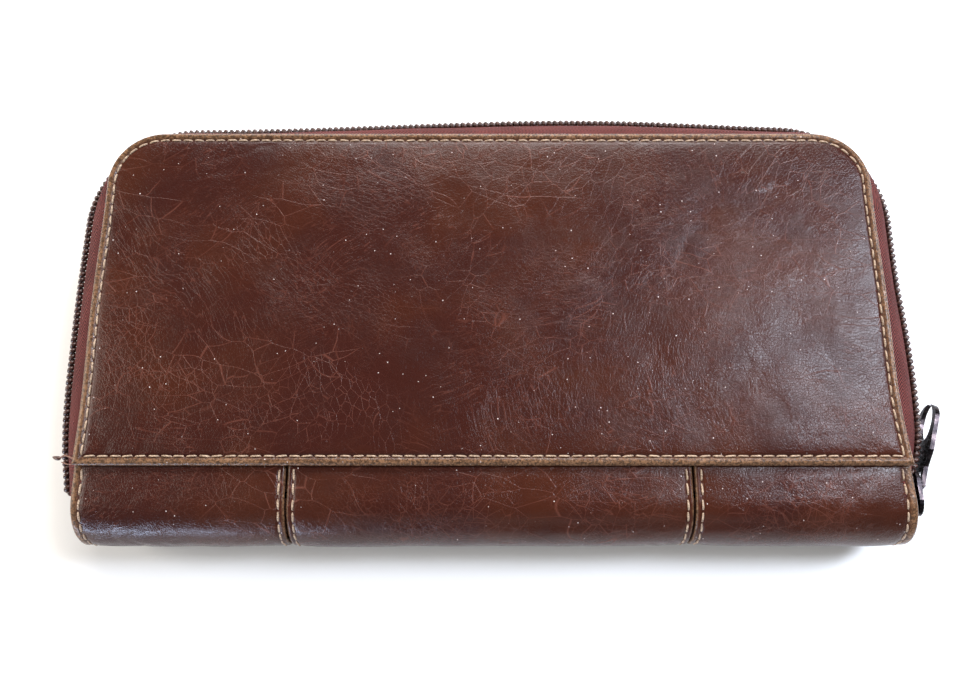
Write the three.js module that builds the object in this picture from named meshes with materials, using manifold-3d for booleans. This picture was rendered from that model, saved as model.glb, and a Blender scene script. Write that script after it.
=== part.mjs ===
// Zip-around passport holder wallet, lying flat and zipped shut. Millimetres, +Z up.
// X runs along the spine, +Y points from the spine to the zip's long side.
// The origin is on the outer face of the base cover.
import * as THREE from 'three';
import Module from 'manifold-3d';

const wasm = await Module();
wasm.setup();

// ---- driving dimensions ----
const THICK = 25.4; // closed wallet, outer face to outer face
const MID = THICK / 2; // height of the zip's meeting line
const COVER_HALF_X = 100;
const COVER_FAR_Y = 53;
const COVER_SEAM_Y = -34.5; // turned edge that laps over the spine leather
const COVER_CORNER_R = 14.5;
const LEATHER = 1.6;
const GAP = 0.3; // clearance between neighbouring layers

const FOLD_Y = -42; // both fold lines
const SPINE_R = 11; // outer radius of the half-round spine
const SPINE_TRIM = THREE.MathUtils.degToRad(9); // bare leather left at each fold
const SPINE_SEAM_X = 49; // seams between the three spine panels
const SPINE_SEAM_GAP = 0.6;

const TAPE = 0.8;
const COIL_W = 2.1;
const COIL_H = 1.9;
const TEETH_GAP = 0.7; // between the two rows, for the slider's web
const CHAIN_START_X = 106; // outer face of the chain at the fold line
const CHAIN_SHOULDER = [110, 33]; // where the straight side meets the corner
const CHAIN_CORNER_R = 28;
const CHAIN_SLOPE = (CHAIN_SHOULDER[0] - CHAIN_START_X) / (CHAIN_SHOULDER[1] - FOLD_Y);
const CHAIN_BOW = 1.8; // how far the long side bulges

const SLIDER_Y = -40.5; // reference point of the slider on the chain
const PULL_LEAN = THREE.MathUtils.degToRad(14); // pull's lean away from the chain
const PULL_LENGTH = 22.5;
const PULL_W = 8.5;
const PULL_T = 1.1;
const CROSSBAR_R = 0.55;
const CROSSBAR = [2.3, 2.0]; // along and out from the slider's reference point

// ---- materials ----
const material = (color, roughness, metalness = 0) =>
  new THREE.MeshStandardMaterial({ color, roughness, metalness });
const leatherBrown = material(0x59302a, 0.42);
const cardLeather = material(0x4b2a22, 0.5);
const liningFabric = material(0x3b2420, 0.85);
const board = material(0x8a7a66, 0.9);
const zipTape = material(0x7a4642, 0.85);
const zipCoil = material(0x2c1816, 0.35);
const gunmetal = material(0x3b3639, 0.3, 0.9);

const part = new THREE.Group();
part.name = 'zip_wallet';

const add = (name, geometry, mat) => {
  const mesh = new THREE.Mesh(geometry, mat);
  mesh.name = name;
  part.add(mesh);
};

// ---- closed-body helpers ----
const outward = (positions, indices) => {
  let volume = 0;
  const a = new THREE.Vector3();
  const b = new THREE.Vector3();
  const c = new THREE.Vector3();
  for (let i = 0; i < indices.length; i += 3) {
    a.fromArray(positions, indices[i] * 3);
    b.fromArray(positions, indices[i + 1] * 3);
    c.fromArray(positions, indices[i + 2] * 3);
    volume += a.dot(b.cross(c));
  }
  if (volume < 0) {
    for (let i = 0; i < indices.length; i += 3) {
      [indices[i], indices[i + 1]] = [indices[i + 1], indices[i]];
    }
  }
  const geometry = new THREE.BufferGeometry();
  geometry.setAttribute('position', new THREE.Float32BufferAttribute(positions, 3));
  geometry.setIndex(indices);
  geometry.computeVertexNormals();
  return geometry;
};

// Joins equal rings of points into one closed body; the end rings are capped with a grid strip.
const loftRings = (rings) => {
  const count = rings[0].length;
  const positions = rings.flat(2);
  const indices = [];
  for (let s = 0; s < rings.length - 1; s += 1) {
    for (let i = 0; i < count; i += 1) {
      const j = (i + 1) % count;
      const a = s * count + i;
      const b = s * count + j;
      const c = (s + 1) * count + j;
      const d = (s + 1) * count + i;
      indices.push(a, b, c, a, c, d);
    }
  }
  const cap = (base, flip) => {
    for (let i = 0; i < count / 2 - 1; i += 1) {
      const quad = [base + i, base + i + 1, base + count - 2 - i, base + count - 1 - i];
      const [a, b, c, d] = flip ? [...quad].reverse() : quad;
      indices.push(a, b, c, a, c, d);
    }
  };
  cap(0, true);
  cap((rings.length - 1) * count, false);
  return outward(positions, indices);
};

const roundedCover = (inset, nearY) => {
  const x = COVER_HALF_X - inset;
  const far = COVER_FAR_Y - inset;
  const r = Math.max(COVER_CORNER_R - inset, 2);
  const near = 1;
  const shape = new THREE.Shape();
  shape.moveTo(-x + near, nearY);
  shape.lineTo(x - near, nearY);
  shape.absarc(x - near, nearY + near, near, -Math.PI / 2, 0, false);
  shape.absarc(x - r, far - r, r, 0, Math.PI / 2, false);
  shape.absarc(-x + r, far - r, r, Math.PI / 2, Math.PI, false);
  shape.absarc(-x + near, nearY + near, near, Math.PI, Math.PI * 1.5, false);
  return shape;
};

const rectangle = (x0, x1, y0, y1, r) => {
  const shape = new THREE.Shape();
  shape.absarc(x1 - r, y0 + r, r, -Math.PI / 2, 0, false);
  shape.absarc(x1 - r, y1 - r, r, 0, Math.PI / 2, false);
  shape.absarc(x0 + r, y1 - r, r, Math.PI / 2, Math.PI, false);
  shape.absarc(x0 + r, y0 + r, r, Math.PI, Math.PI * 1.5, false);
  return shape;
};

const slab = (shape, z0, z1, segments = 8) => {
  const options = { depth: z1 - z0, bevelEnabled: false, curveSegments: segments };
  const geometry = new THREE.ExtrudeGeometry(shape, options);
  geometry.translate(0, 0, z0);
  return geometry;
};

// The lid repeats the base's layers, upside down about the meeting line.
const lidSlab = (shape, z0, z1) => slab(shape, THICK - z1, THICK - z0);

// ---- covers, boards and linings ----
const BOARD_Z = [1.9, 2.9];
const LINING_Z = [3.6, 4.3];
add('base_cover_leather', slab(roundedCover(0, COVER_SEAM_Y), 0, LEATHER), leatherBrown);
add('base_stiffener', slab(roundedCover(7, -30), ...BOARD_Z), board);
add('base_lining', slab(roundedCover(3.5, -40.5), ...LINING_Z), liningFabric);
add('lid_cover_leather', lidSlab(roundedCover(0, COVER_SEAM_Y), 0, LEATHER), leatherBrown);
add('lid_stiffener', lidSlab(roundedCover(7, -30), ...BOARD_Z), board);
add('lid_lining', lidSlab(roundedCover(3.5, -40.5), ...LINING_Z), liningFabric);

// ---- spine: three leather panels, hems under both covers, lining and end gussets ----
const HEM = rectangle(-94, 94, -41.2, -31, 0.8);
add('spine_hem_lower', slab(HEM, 1.9, 3.3), leatherBrown);
add('spine_hem_upper', lidSlab(HEM, 1.9, 3.3), leatherBrown);

const alongX = (shape, x0, x1, segments = 20) => {
  const options = { depth: x1 - x0, bevelEnabled: false, curveSegments: segments };
  const geometry = new THREE.ExtrudeGeometry(shape, options);
  geometry.applyMatrix4(new THREE.Matrix4().set(0, 0, 1, x0, 1, 0, 0, 0, 0, 1, 0, 0, 0, 0, 0, 1));
  return geometry;
};
const spineSector = (rOut, rIn) => {
  const from = Math.PI / 2 + SPINE_TRIM;
  const to = Math.PI * 1.5 - SPINE_TRIM;
  const shape = new THREE.Shape();
  shape.absarc(FOLD_Y, MID, rOut, from, to, false);
  shape.absarc(FOLD_Y, MID, rIn, to, from, true);
  return shape;
};
const SPINE_LEATHER = spineSector(SPINE_R, SPINE_R - LEATHER);
const seamLow = SPINE_SEAM_X - SPINE_SEAM_GAP / 2;
const seamHigh = SPINE_SEAM_X + SPINE_SEAM_GAP / 2;
add('spine_panel_left', alongX(SPINE_LEATHER, -COVER_HALF_X, -seamHigh), leatherBrown);
add('spine_panel_centre', alongX(SPINE_LEATHER, -seamLow, seamLow), leatherBrown);
add('spine_panel_right', alongX(SPINE_LEATHER, seamHigh, COVER_HALF_X), leatherBrown);
const liningOut = SPINE_R - LEATHER - GAP;
add('spine_lining', alongX(spineSector(liningOut, liningOut - 0.6), -98.5, 98.5, 16), liningFabric);

const gusset = new THREE.Shape();
gusset.absarc(FOLD_Y, MID, 8.2, Math.PI / 2 + 0.15, Math.PI * 1.5 - 0.15, false);
add('spine_end_left', alongX(gusset, -98.2, -97.4, 10), liningFabric);
add('spine_end_right', alongX(gusset, 97.4, 98.2, 10), liningFabric);

// ---- interior of the base: passport pocket and document sleeve ----
add('passport_panel', slab(rectangle(-70, 70, -40.5, 38, 2), 8.9, 9.6), cardLeather);
add('passport_welt_left', slab(rectangle(-70, -65.5, -36.4, 37, 1), 4.6, 8.6), cardLeather);
add('passport_welt_right', slab(rectangle(65.5, 70, -36.4, 37, 1), 4.6, 8.6), cardLeather);
add('passport_welt_front', slab(rectangle(-70, 70, -40.5, -37, 1), 4.6, 8.6), cardLeather);
add('document_sleeve', slab(rectangle(-90, 90, -40.5, 44, 3), 9.9, 10.5), liningFabric);

// ---- interior of the lid: two columns of stepped card slots ----
const SLOT_MOUTHS = [40, 31, 22, 13];
SLOT_MOUTHS.forEach((mouth, row) => {
  const z0 = 4.6 + row;
  const left = rectangle(-92, -2, -37, mouth, 2);
  const right = rectangle(2, 92, -37, mouth, 2);
  add(`card_slot_left_${row + 1}`, lidSlab(left, z0, z0 + 0.7), cardLeather);
  add(`card_slot_right_${row + 1}`, lidSlab(right, z0, z0 + 0.7), cardLeather);
});

// ---- zip chain: stations pair a point on the cover's edge with one on the chain ----
const chainX = (y) => CHAIN_START_X + (y - FOLD_Y) * CHAIN_SLOPE;
const farX = CHAIN_SHOULDER[0] - CHAIN_CORNER_R;
const farY = CHAIN_SHOULDER[1] + CHAIN_CORNER_R;
const halfStations = () => {
  const list = [];
  const edgeCornerY = COVER_FAR_Y - COVER_CORNER_R;
  const straight = 7;
  for (let i = 0; i <= straight; i += 1) {
    const y = -41.6 + ((CHAIN_SHOULDER[1] + 41.6) * i) / straight;
    list.push({ edge: [COVER_HALF_X, y], chain: [chainX(y), y] });
  }
  const arc = 9;
  for (let i = 1; i <= arc; i += 1) {
    const a = (Math.PI / 2) * (i / arc);
    const edge = [
      COVER_HALF_X - COVER_CORNER_R * (1 - Math.cos(a)),
      edgeCornerY + COVER_CORNER_R * Math.sin(a),
    ];
    const chain = [farX + CHAIN_CORNER_R * Math.cos(a), CHAIN_SHOULDER[1] + CHAIN_CORNER_R * Math.sin(a)];
    list.push({ edge, chain });
  }
  const edgeX = COVER_HALF_X - COVER_CORNER_R;
  const side = 4;
  for (let i = 1; i <= side; i += 1) {
    const k = 1 - i / side;
    const bow = CHAIN_BOW * Math.cos((Math.PI / 2) * k) ** 2;
    list.push({ edge: [edgeX * k, COVER_FAR_Y], chain: [farX * k, farY + bow] });
  }
  return list;
};
const rightHalf = halfStations();
const mirrored = ({ edge, chain }) => ({ edge: [-edge[0], edge[1]], chain: [-chain[0], chain[1]] });
const stations = [...rightHalf, ...rightHalf.slice(0, -1).reverse().map(mirrored)];

// Outward horizontal direction of the chain at each station.
const chainNormals = stations.map((_, i) => {
  const p = stations[Math.max(i - 1, 0)].chain;
  const q = stations[Math.min(i + 1, stations.length - 1)].chain;
  const dx = q[0] - p[0];
  const dy = q[1] - p[1];
  const length = Math.hypot(dx, dy);
  return [dy / length, -dx / length];
});

// Tape: lies flat under the cover's edge, slopes out and stands up behind the coil.
const TAPE_ROOT_Z = 2.3;
const TAPE_BEND = [0.62, 4.4]; // share of the reach and height that the slope curves towards
const TAPE_UPRIGHT_Z = 10.3;
const TAPE_TOP = MID - 0.4;
const tapeRing = (station, normal, flip) => {
  const [nx, ny] = normal;
  const face = COIL_W + 0.25 + TAPE / 2;
  const head = [station.chain[0] - nx * face, station.chain[1] - ny * face];
  const dx = head[0] - station.edge[0];
  const dy = head[1] - station.edge[1];
  const reach = Math.hypot(dx, dy);
  const ux = dx / reach;
  const uy = dy / reach;
  const root = [-0.5, TAPE_ROOT_Z];
  const bend = [TAPE_BEND[0] * reach, TAPE_BEND[1]];
  const upright = [reach, TAPE_UPRIGHT_Z];
  const line = [[-5, TAPE_ROOT_Z], root];
  for (let i = 1; i <= 5; i += 1) {
    const t = i / 5;
    const blend = (k) => (1 - t) ** 2 * root[k] + 2 * t * (1 - t) * bend[k] + t * t * upright[k];
    line.push([blend(0), blend(1)]);
  }
  line.push([reach, TAPE_TOP]);
  const side = (sign) =>
    line.map(([o, z], i) => {
      const a = line[Math.max(i - 1, 0)];
      const b = line[Math.min(i + 1, line.length - 1)];
      const length = Math.hypot(b[0] - a[0], b[1] - a[1]);
      const offO = (sign * (TAPE / 2) * (b[1] - a[1])) / length;
      const offZ = (-sign * (TAPE / 2) * (b[0] - a[0])) / length;
      const height = i === line.length - 1 ? z : z + offZ;
      const out = o + offO;
      const lift = flip ? THICK - height : height;
      return [station.edge[0] + ux * out, station.edge[1] + uy * out, lift];
    });
  return [...side(1), ...side(-1).reverse()];
};
const tape = (flip) => loftRings(stations.map((s, i) => tapeRing(s, chainNormals[i], flip)));
add('zip_tape_lower', tape(false), zipTape);
add('zip_tape_upper', tape(true), zipTape);

const coil = (centreZ) => {
  const profile = [];
  for (let i = 0; i < 8; i += 1) {
    const a = (Math.PI / 4) * (i + 0.5);
    const stretch = 1 / Math.cos(Math.PI / 8);
    profile.push([(COIL_W / 2) * Math.cos(a) * stretch, (COIL_H / 2) * Math.sin(a) * stretch]);
  }
  return loftRings(
    stations.map(({ chain }, i) => {
      const [nx, ny] = chainNormals[i];
      return profile.map(([o, z]) => {
        const out = o - COIL_W / 2;
        return [chain[0] + nx * out, chain[1] + ny * out, centreZ + z];
      });
    }),
  );
};
add('zip_coil_lower', coil(MID - TEETH_GAP / 2 - COIL_H / 2), zipCoil);
add('zip_coil_upper', coil(MID + TEETH_GAP / 2 + COIL_H / 2), zipCoil);

// ---- slider: local axes run along the chain (x), out from it (y) and up (z) ----
const toManifold = (geometry) => {
  const position = geometry.getAttribute('position');
  const index = geometry.getIndex();
  const triVerts = index
    ? new Uint32Array(index.array)
    : new Uint32Array([...Array(position.count).keys()]);
  const mesh = new wasm.Mesh({
    numProp: 3,
    vertProperties: new Float32Array(position.array),
    triVerts,
  });
  mesh.merge();
  return new wasm.Manifold(mesh);
};
const fromManifold = (solid) => {
  const mesh = solid.getMesh();
  return outward([...mesh.vertProperties], [...mesh.triVerts]);
};
const placeOnChain = (geometry) => {
  const angle = Math.atan(CHAIN_SLOPE);
  const frame = new THREE.Matrix4().set(
    Math.sin(angle), Math.cos(angle), 0, chainX(SLIDER_Y),
    Math.cos(angle), -Math.sin(angle), 0, SLIDER_Y,
    0, 0, 1, MID,
    0, 0, 0, 1,
  );
  const placed = geometry.clone();
  placed.applyMatrix4(frame);
  const position = [...placed.getAttribute('position').array];
  const index = placed.getIndex();
  const order = index ? [...index.array] : [...Array(position.length / 3).keys()];
  return fromManifold(toManifold(outward(position, order)));
};
// A plate whose outline lies in the along/up plane, between two distances out from the chain.
const wing = (shape, out0, out1) => {
  const options = { depth: out1 - out0, bevelEnabled: false, curveSegments: 6 };
  const geometry = new THREE.ExtrudeGeometry(shape, options);
  geometry.applyMatrix4(new THREE.Matrix4().set(1, 0, 0, 0, 0, 0, -1, out1, 0, 1, 0, 0, 0, 0, 0, 1));
  return geometry;
};

const WING = new THREE.Shape();
WING.moveTo(-5.5, -1.6);
WING.bezierCurveTo(-5.5, -3.2, -3.6, -4.2, -1.6, -4.2);
WING.lineTo(3.2, -3.4);
WING.bezierCurveTo(4.6, -3.2, 5.7, -2.6, 5.7, -1.6);
WING.lineTo(5.7, 1.6);
WING.bezierCurveTo(5.7, 2.6, 4.6, 3.2, 3.2, 3.4);
WING.lineTo(-1.6, 4.2);
WING.bezierCurveTo(-3.6, 4.2, -5.5, 3.2, -5.5, 1.6);
WING.closePath();
const WING_OUT = [0.3, 1.3];
const WING_IN = [-4.6, -3.5];
const WING_IN_SCALE = 0.6; // the inner wing is lower, clear of the sloping tapes
const WEB = rectangle(-5.2, -1.4, -0.15, 0.15, 0.1); // joins the wings between the rows of teeth
const innerWing = wing(WING, ...WING_IN);
innerWing.scale(1, 1, WING_IN_SCALE);
const sliderBody = toManifold(wing(WING, ...WING_OUT))
  .add(toManifold(innerWing))
  .add(toManifold(wing(WEB, -4, 0.8)));
add('slider_body', placeOnChain(fromManifold(sliderBody)), gunmetal);

const BRIDGE_HALF_W = 0.9;
const bridge = new THREE.Shape();
bridge.moveTo(-0.6, 1.36);
bridge.lineTo(0.5, 1.36);
bridge.lineTo(2.0, 2.85);
bridge.lineTo(3.1, 2.85);
bridge.lineTo(3.9, 1.36);
bridge.lineTo(4.8, 1.36);
bridge.lineTo(3.4, 3.75);
bridge.lineTo(2.1, 3.75);
bridge.closePath();
const bridgeOptions = { depth: 2 * BRIDGE_HALF_W, bevelEnabled: false };
const bridgeGeometry = new THREE.ExtrudeGeometry(bridge, bridgeOptions);
bridgeGeometry.translate(0, 0, -BRIDGE_HALF_W);
add('slider_bridge', placeOnChain(bridgeGeometry), gunmetal);

// ---- pull tab: a plate with a round bar at the bridge and a large oval hole at the free end ----
const pullOutline = new THREE.Shape();
const neck = 3;
const pullEnd = PULL_LENGTH - 1;
const headR = PULL_W / 2;
pullOutline.moveTo(-0.3, -neck);
pullOutline.lineTo(4.6, -neck);
pullOutline.lineTo(9, -headR);
pullOutline.absarc(pullEnd - headR, 0, headR, -Math.PI / 2, Math.PI / 2, false);
pullOutline.lineTo(9, headR);
pullOutline.lineTo(4.6, neck);
pullOutline.lineTo(-0.3, neck);
pullOutline.closePath();
const window = new THREE.Path();
window.moveTo(-1, -2);
window.lineTo(3.1, -2);
window.lineTo(3.1, 2);
window.lineTo(-1, 2);
window.closePath();
const plate = (shape) => {
  const options = { depth: PULL_T, bevelEnabled: false, curveSegments: 12 };
  const geometry = new THREE.ExtrudeGeometry(shape, options);
  geometry.translate(0, 0, -PULL_T / 2);
  geometry.rotateX(Math.PI / 2);
  return geometry;
};
const windowShape = new THREE.Shape(window.getPoints());
const cutter = (shape) => {
  const options = { depth: 3, bevelEnabled: false, curveSegments: 12 };
  const geometry = new THREE.ExtrudeGeometry(shape, options);
  geometry.translate(0, 0, -1.5);
  geometry.rotateX(Math.PI / 2);
  return toManifold(geometry);
};
const ovalHole = new THREE.Shape();
ovalHole.absellipse(pullEnd - headR - 0.7, 0, 5, 2.7, 0, Math.PI * 2, false);
const bar = new THREE.CylinderGeometry(CROSSBAR_R, CROSSBAR_R, 5, 14);
bar.rotateX(Math.PI / 2);
const pull = toManifold(plate(pullOutline))
  .subtract(cutter(windowShape))
  .subtract(cutter(ovalHole))
  .add(toManifold(bar));
const pullGeometry = fromManifold(pull);
pullGeometry.rotateZ(PULL_LEAN);
pullGeometry.translate(CROSSBAR[0], CROSSBAR[1], 0);
add('pull_tab', placeOnChain(pullGeometry), gunmetal);

export default part;
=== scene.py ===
"""Zip-around passport wallet: the looks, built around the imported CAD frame. Lengths in mm until a mesh is made."""
import math
import random

import bmesh
import bpy
import numpy as np
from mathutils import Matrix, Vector, noise


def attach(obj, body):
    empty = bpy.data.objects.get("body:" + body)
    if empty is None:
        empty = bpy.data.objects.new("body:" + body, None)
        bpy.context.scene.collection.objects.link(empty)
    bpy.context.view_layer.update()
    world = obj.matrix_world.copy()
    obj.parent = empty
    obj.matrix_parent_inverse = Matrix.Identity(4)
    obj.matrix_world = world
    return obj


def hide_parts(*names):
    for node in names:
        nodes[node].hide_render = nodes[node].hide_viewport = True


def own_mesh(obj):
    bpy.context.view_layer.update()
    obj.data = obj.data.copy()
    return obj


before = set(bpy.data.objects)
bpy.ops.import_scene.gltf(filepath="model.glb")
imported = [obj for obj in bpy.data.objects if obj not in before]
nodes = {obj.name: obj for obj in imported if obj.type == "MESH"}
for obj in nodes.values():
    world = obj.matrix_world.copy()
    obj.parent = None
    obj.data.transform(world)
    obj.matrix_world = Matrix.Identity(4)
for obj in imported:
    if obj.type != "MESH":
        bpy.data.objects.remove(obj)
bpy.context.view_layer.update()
rng = random.Random(7)
MM = 0.001


# ---------------------------------------------------------------- camera, floor, light
scene = bpy.context.scene
camera_data = bpy.data.cameras.new("camera")
camera_data.lens = 30
camera_data.sensor_width = 36
camera_data.clip_start = 0.005
camera = bpy.data.objects.new("camera", camera_data)
camera.location = (-0.0024, -0.0519, 0.2179)
camera.rotation_euler = (math.radians(90 - 76.2), 0, 0)
scene.collection.objects.link(camera)
scene.camera = camera
scene.view_settings.view_transform = "Standard"


def area_light(name, place, aim, size, power, colour=(1, 1, 1)):
    data = bpy.data.lights.new(name, "AREA")
    data.shape = "RECTANGLE"
    data.size, data.size_y = size
    data.energy = power
    data.color = colour
    light = bpy.data.objects.new(name, data)
    light.location = place
    light.rotation_euler = (Vector(aim) - Vector(place)).to_track_quat("-Z", "Y").to_euler()
    scene.collection.objects.link(light)


area_light("key_far", (0.15, 1.6, 1.0), (0.0, 0, 0), (1.4, 0.6), 56, (1, 0.98, 0.97))
area_light("window_right", (0.55, 0.17, 0.6), (0.1, 0.0, 0), (0.16, 0.5), 9, (0.8, 0.87, 1))
area_light("fill_left", (-1.1, 0.0, 0.6), (0, 0, 0), (0.6, 0.8), 14, (1, 0.95, 0.86))
area_light("front_strip", (-0.46, -0.62, 0.035), (-0.07, -0.05, 0.006), (0.5, 0.04), 4.5, (0.62, 0.74, 1))
area_light("front_soft", (0.1, -1.3, 0.9), (0, -0.05, 0), (1.2, 0.5), 2, (1, 1, 1))

world = bpy.data.worlds.new("studio")
world.use_nodes = True
world.node_tree.nodes["Background"].inputs["Color"].default_value = (0.98, 0.98, 1, 1)
world.node_tree.nodes["Background"].inputs["Strength"].default_value = 0.17
scene.world = world


# ---------------------------------------------------------------- node material helpers
class Nodes:
    """A short way to write a node tree: every call returns an output socket."""

    def __init__(self, name):
        self.material = bpy.data.materials.new(name)
        self.material.use_nodes = True
        self.tree = self.material.node_tree
        self.shader = self.tree.nodes["Principled BSDF"]

    def put(self, socket, value):
        if isinstance(value, bpy.types.NodeSocket):
            self.tree.links.new(value, socket)
        else:
            socket.default_value = value

    def node(self, kind, out=0, settings=None, **inputs):
        made = self.tree.nodes.new(kind)
        for key, value in (settings or {}).items():
            setattr(made, key, value)
        for key, value in inputs.items():
            self.put(made.inputs[key.replace("_", " ")], value)
        return made.outputs[out]

    def math(self, operation, a, b=0.0, c=0.0):
        made = self.tree.nodes.new("ShaderNodeMath")
        made.operation = operation
        for socket, value in zip(made.inputs, (a, b, c)):
            self.put(socket, value)
        return made.outputs[0]

    def mix(self, factor, a, b):
        made = self.tree.nodes.new("ShaderNodeMix")
        made.data_type = "RGBA"
        self.put(made.inputs[0], factor)
        self.put(made.inputs[6], a)
        self.put(made.inputs[7], b)
        return made.outputs[2]

    def step(self, value, low, high, to_low=0.0, to_high=1.0):
        made = self.tree.nodes.new("ShaderNodeMapRange")
        made.interpolation_type = "SMOOTHSTEP"
        for socket, item in zip(made.inputs, (value, low, high, to_low, to_high)):
            self.put(socket, item)
        return made.outputs[0]

    def place(self, turn=0.0, scale=(1, 1, 1), shift=(0, 0, 0), warp=0.0):
        """Object coordinates in mm, bent by a slow noise (warp, in mm), turned about Z and stretched."""
        coords = self.node("ShaderNodeTexCoord", "Object")
        mm = self.node("ShaderNodeMapping", Vector=coords, Scale=(1000, 1000, 1000))
        if warp:
            slow = self.node("ShaderNodeTexNoise", "Color", Vector=mm, Scale=0.028, Detail=2.0)
            bent = self.tree.nodes.new("ShaderNodeVectorMath")
            bent.operation = "MULTIPLY_ADD"
            self.put(bent.inputs[0], slow)
            bent.inputs[1].default_value = (warp, warp, warp)
            self.put(bent.inputs[2], mm)
            mm = bent.outputs[0]
        turned = self.node("ShaderNodeMapping", Vector=mm, Rotation=(0, 0, math.radians(turn)), Location=shift)
        return self.node("ShaderNodeMapping", Vector=turned, Scale=scale)

    def noise(self, where, scale, detail=3.0, distortion=0.0, rough=0.5):
        return self.node("ShaderNodeTexNoise", "Fac", Vector=where, Scale=scale, Detail=detail, Distortion=distortion, Roughness=rough)

    def attribute(self, name):
        return self.node("ShaderNodeAttribute", "Fac", settings={"attribute_name": name})

    def bump(self, height, strength, distance_mm, below=None):
        made = self.tree.nodes.new("ShaderNodeBump")
        made.inputs["Strength"].default_value = strength
        made.inputs["Distance"].default_value = distance_mm * MM
        self.put(made.inputs["Height"], height)
        if below is not None:
            self.put(made.inputs["Normal"], below)
        return made.outputs[0]

    def finish(self, **inputs):
        for key, value in inputs.items():
            self.put(self.shader.inputs[key.replace("_", " ")], value)
        return self.material


def srgb(r, g, b):
    return tuple((c / 255 / 12.92 if c <= 10 else ((c / 255 + 0.055) / 1.055) ** 2.4) for c in (r, g, b)) + (1,)


def leather(name, dark, warm, crease, tan, gloss=(0.2, 0.32), creased=1.0):
    """Pull-up leather: blotchy colour, bundles of fine creases, pores, dust, worn edges, and painted shade that darkens
    it towards the floor.
    """
    n = Nodes(name)
    where = n.place()
    blotch = n.noise(where, 0.028, 4, 0.6)
    cloud = n.noise(where, 0.11, 5, 0.3, 0.6)
    base = n.mix(n.step(blotch, 0.4, 0.68), dark, warm)
    base = n.mix(n.step(cloud, 0.35, 0.75, 0.0, 0.3), base, tuple(c * 0.62 for c in dark[:3]) + (1,))
    pores = n.noise(where, 3.2, 4, 0.0, 0.7)
    lines = None
    for turn, shift, stretch, frequency, width, amount, low in (
        (12, 0, 0.45, 0.20, 0.010, 0.9, 0.44),
        (-52, 60, 0.4, 0.34, 0.014, 0.8, 0.47),
        (70, 120, 0.5, 0.62, 0.022, 0.7, 0.50),
        (30, 180, 0.4, 1.05, 0.03, 0.5, 0.48),
    ):
        web = n.node(
            "ShaderNodeTexVoronoi", "Distance", settings={"feature": "DISTANCE_TO_EDGE"},
            Vector=n.place(turn, (stretch, 1, 0.7), (shift, shift * 0.7, 0), warp=14), Scale=frequency, Randomness=1.0,
        )
        ragged = n.math("ADD", web, n.math("MULTIPLY_ADD", pores, 0.02, -0.01))
        ridge = n.step(ragged, 0.0, width * 1.6, amount, 0)
        patch = n.step(n.noise(n.place(0, (1, 1, 1), (shift + 11, shift, 5)), 0.034, 4), low, low + 0.16, 0.04, 1)
        layer = n.math("MULTIPLY", ridge, patch)
        lines = layer if lines is None else n.math("MAXIMUM", lines, layer)
    for turn, shift, stretch, frequency, amount in ((57, 40, 0.10, 0.9, 0.6), (-30, 90, 0.10, 1.0, 0.6), (8, 150, 0.08, 0.8, 0.6)):
        field = n.place(turn, (stretch, 1, 0.6), (shift, shift * 0.7, 0), warp=22)
        ridge = n.step(n.math("ABSOLUTE", n.math("SUBTRACT", n.noise(field, frequency, 1, 0.3, 0.5), 0.5)), 0.0, 0.022, amount, 0)
        patch = n.step(n.noise(n.place(0, (1, 1, 1), (shift + 31, shift, 5)), 0.03, 3), 0.5, 0.68, 0.0, 1)
        lines = n.math("MAXIMUM", lines, n.math("MULTIPLY", ridge, patch))
    cells = n.node(
        "ShaderNodeTexVoronoi", "Distance", settings={"feature": "DISTANCE_TO_EDGE"},
        Vector=n.place(20, (1, 1, 0.7), warp=6), Scale=1.5, Randomness=1.0,
    )
    pebble = n.step(cells, 0.0, 0.16)
    base = n.mix(n.math("MULTIPLY", lines, 0.5 * creased), base, crease)
    # Painted shade: below 19 mm above the floor the colour is pulled towards a much darker tone, most below 4 mm,
    # standing for the shade on the lower spine; creased scales this as well as the creases.
    height = n.tree.nodes.new("ShaderNodeSeparateXYZ")
    n.put(height.inputs[0], where)
    base = n.mix(n.step(height.outputs[2], 4, 19, 0.8 * creased, 0), base, tuple(c * 0.3 for c in dark[:3]) + (1,))
    edge = n.attribute("edge_mm")
    worn = n.step(n.math("ADD", edge, n.math("MULTIPLY", n.noise(where, 0.35, 4), 1.3)), 1.6, 3.1, 1, 0)
    rough_streaks = n.step(n.noise(n.place(0, (1, 1, 1)), 1.7, 4, 0.6, 0.65), 0.40, 0.62)
    streaked = n.mix(rough_streaks, tuple(c * 0.26 for c in tan[:3]) + (1,), tan)
    base = n.mix(worn, base, streaked)
    dust_cells = n.tree.nodes.new("ShaderNodeTexVoronoi")
    dust_cells.inputs["Scale"].default_value = 0.52
    n.put(dust_cells.inputs["Vector"], where)
    size = n.math("MULTIPLY", n.node("ShaderNodeSeparateColor", "Red", Color=dust_cells.outputs["Color"]), 0.085)
    dust = n.step(n.math("SUBTRACT", dust_cells.outputs["Distance"], size), -0.012, 0.0, 0.8, 0)
    base = n.mix(dust, base, srgb(225, 210, 205))
    rough = n.step(n.math("ADD", n.math("MULTIPLY", cloud, 0.6), n.math("MULTIPLY", pores, 0.4)), 0.3, 0.7, *gloss)
    rough = n.math("ADD", rough, n.math("MULTIPLY", dust, 0.4))
    swell = n.bump(n.noise(where, 0.16, 3, 0.4), 0.35, 0.6)
    creases = n.bump(lines, 0.5 * creased, 0.06, swell)
    grainy = n.bump(pebble, 0.42, 0.045, creases)
    fine = n.bump(pores, 0.18, 0.03, grainy)
    return n.finish(Base_Color=base, Roughness=rough, Normal=fine, Specular_IOR_Level=0.22)


LEATHER = leather("leather_outer", srgb(50, 20, 14), srgb(60, 27, 15), srgb(112, 66, 54), srgb(126, 92, 66))
CARD = leather("leather_inside", srgb(84, 46, 35), srgb(98, 56, 42), srgb(120, 76, 60), srgb(120, 78, 60), (0.4, 0.55), 0.25)


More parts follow.
